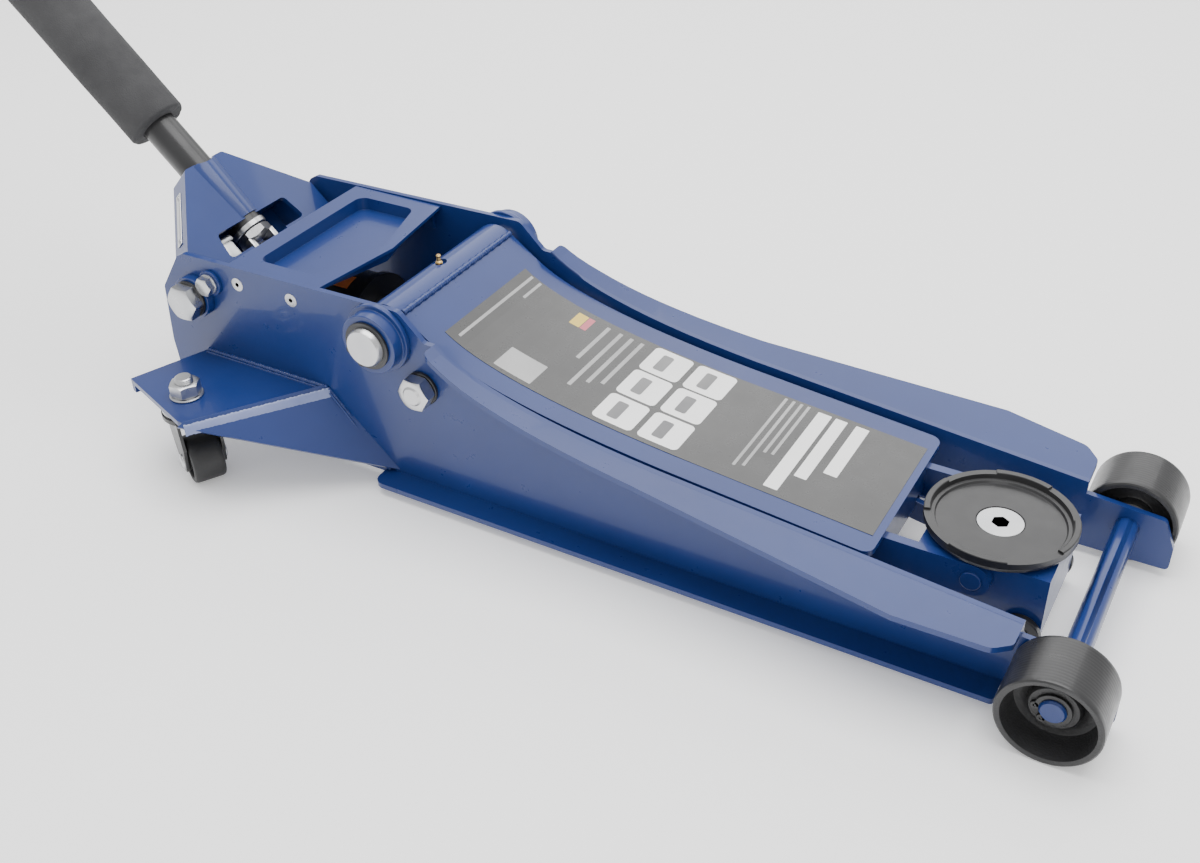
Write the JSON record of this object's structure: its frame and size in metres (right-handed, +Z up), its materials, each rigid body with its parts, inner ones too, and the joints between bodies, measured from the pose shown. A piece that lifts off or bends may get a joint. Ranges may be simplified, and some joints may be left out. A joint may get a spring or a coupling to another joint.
{
  "type": "hydraulic floor jack",
  "caption": "Low-profile trolley jack: side-plate chassis on wheels, hydraulic lift arm with self-levelling saddle, tool tray and foam-sleeved pump handle in a tilting socket.",
  "frame": {"origin": "middle of the bounding box on the floor under the wheels", "axes": "+X from the handle end towards the saddle, +Y to the jack's left, +Z up"},
  "size_m": [1.6862, 0.4112, 0.9411],
  "materials": {
    "paint": "gloss",
    "black_steel": "semi-gloss",
    "zinc": "satin",
    "dark_steel": "satin",
    "wheel_iron": "satin",
    "caster_nylon": "matte",
    "foam": "matte",
    "grip_rubber": "matte",
    "brass": "satin",
    "label": "satin",
    "sticker": "satin"
  },
  "bodies": {
    "frame": {"side_plate_right": "paint", "side_plate_left": "paint", "caster_bracket_right": "paint", "caster_bracket_left": "paint", "base_plate": "paint", "front_axle": "paint", "axle_clips": "black_steel", "tool_tray": "paint", "tray_screws": "zinc", "arm_shaft": "zinc", "shaft_bosses": "paint", "shaft_clips": "black_steel", "link_spacers": "paint", "link_bolts": "zinc", "link_washers": "black_steel", "socket_bosses": "paint", "socket_washers": "black_steel", "socket_bolts": "zinc", "stop_bolts": "zinc", "caster_studs": "zinc", "caster_nuts": "zinc", "caster_races": "zinc", "pump_block": "black_steel", "oil_tank": "black_steel", "ram_gland": "dark_steel", "filler_plug": "dark_steel", "tank_label": "sticker"},
    "lift_arm": {"lift_arm": "paint", "arm_label": "label", "grease_nipple": "brass", "crank_pin_bolt": "zinc", "saddle_pins": "paint"},
    "saddle_bracket": {"saddle_bracket": "paint", "link_pin": "zinc", "guide_discs": "black_steel"},
    "saddle": {"saddle": "black_steel", "saddle_screw": "zinc"},
    "link_rods": {"link_rods": "paint"},
    "front_wheel_right": {"front_wheel_right": "wheel_iron"},
    "front_wheel_left": {"front_wheel_left": "wheel_iron"},
    "caster_right": {"caster_fork_right": "black_steel", "caster_axle_right": "zinc"},
    "caster_left": {"caster_fork_left": "black_steel", "caster_axle_left": "zinc"},
    "caster_wheel_right": {"caster_wheel_right": "caster_nylon"},
    "caster_wheel_left": {"caster_wheel_left": "caster_nylon"},
    "ram": {"ram_rod": "zinc", "ram_clevis": "dark_steel"},
    "plunger": {"pump_plunger": "zinc"},
    "handle_socket": {"handle_socket": "paint", "socket_strip": "zinc", "roller_pin": "zinc"},
    "pump_roller": {"pump_roller": "zinc"},
    "handle": {"lower_tube": "black_steel", "upper_tube": "black_steel", "tube_button": "zinc", "foam_sleeve": "foam", "handle_grip": "grip_rubber", "release_fork": "zinc"},
    "release_stem": {"release_stem": "zinc"}
  },
  "joints": [
    {"name": "arm_lift", "type": "hinge", "parent": "frame", "child": "lift_arm", "pos_m": [0.22259, 0, 0.1525], "axis": [0, -1, 0], "range_deg": [0, 68.75]},
    {"name": "saddle_level", "type": "hinge", "parent": "lift_arm", "child": "saddle_bracket", "pos_m": [0.72159, 0, 0.0585], "axis": [0, -1, 0], "range_deg": [-68.75, 0]},
    {"name": "saddle_turn", "type": "hinge", "parent": "saddle_bracket", "child": "saddle", "pos_m": [0.72559, 0, 0.075], "axis": [0, 0, 1], "continuous": true},
    {"name": "link_swing", "type": "hinge", "parent": "frame", "child": "link_rods", "pos_m": [0.26209, 0, 0.1135], "axis": [0, -1, 0], "range_deg": [0, 68.75]},
    {"name": "ram_slide", "type": "slide", "parent": "frame", "child": "ram", "axis": [1, 0, 0], "range_m": [0, 0.0701]},
    {"name": "front_roll_right", "type": "hinge", "parent": "frame", "child": "front_wheel_right", "pos_m": [0.80559, -0.1225, 0.0375], "axis": [0, 1, 0], "continuous": true},
    {"name": "front_roll_left", "type": "hinge", "parent": "frame", "child": "front_wheel_left", "pos_m": [0.80559, 0.1225, 0.0375], "axis": [0, 1, 0], "continuous": true},
    {"name": "caster_swivel_right", "type": "hinge", "parent": "frame", "child": "caster_right", "pos_m": [0.05059, -0.163, 0.06], "axis": [0, 0, 1], "continuous": true},
    {"name": "caster_swivel_left", "type": "hinge", "parent": "frame", "child": "caster_left", "pos_m": [0.05059, 0.163, 0.06], "axis": [0, 0, 1], "continuous": true},
    {"name": "caster_roll_right", "type": "hinge", "parent": "caster_right", "child": "caster_wheel_right", "pos_m": [0.06098, -0.169, 0.0225], "axis": [0.5, 0.866, 0], "continuous": true},
    {"name": "caster_roll_left", "type": "hinge", "parent": "caster_left", "child": "caster_wheel_left", "pos_m": [0.06186, 0.1589, 0.0225], "axis": [0.342, 0.9397, 0], "continuous": true},
    {"name": "handle_tilt", "type": "hinge", "parent": "frame", "child": "handle_socket", "pos_m": [0.01459, 0, 0.1395], "axis": [0, 1, 0], "range_deg": [-25, 45]},
    {"name": "plunger_slide", "type": "slide", "parent": "frame", "child": "plunger", "axis": [1, 0, 0], "range_m": [-0.0165, 0.0092]},
    {"name": "roller_spin", "type": "hinge", "parent": "handle_socket", "child": "pump_roller", "pos_m": [0.01459, -0.038, 0.1155], "axis": [0, 1, 0], "continuous": true},
    {"name": "handle_twist", "type": "hinge", "parent": "handle_socket", "child": "handle", "pos_m": [0.01459, 0, 0.1395], "axis": [-0.7314, 0, 0.682], "range_deg": [-60, 60]},
    {"name": "release_turn", "type": "hinge", "parent": "frame", "child": "release_stem", "pos_m": [0.01459, 0, 0.1395], "axis": [-0.7314, 0, 0.682], "range_deg": [-60, 60]}
  ],
  "couplings": [
    {"joint": "saddle_level", "follows": "arm_lift", "ratio": -1},
    {"joint": "link_swing", "follows": "arm_lift", "ratio": 1},
    {"joint": "ram_slide", "follows": "arm_lift", "m_per_rad": 0.05835},
    {"joint": "plunger_slide", "follows": "handle_tilt", "m_per_rad": -0.021},
    {"joint": "release_turn", "follows": "handle_twist", "ratio": 1}
  ]
}
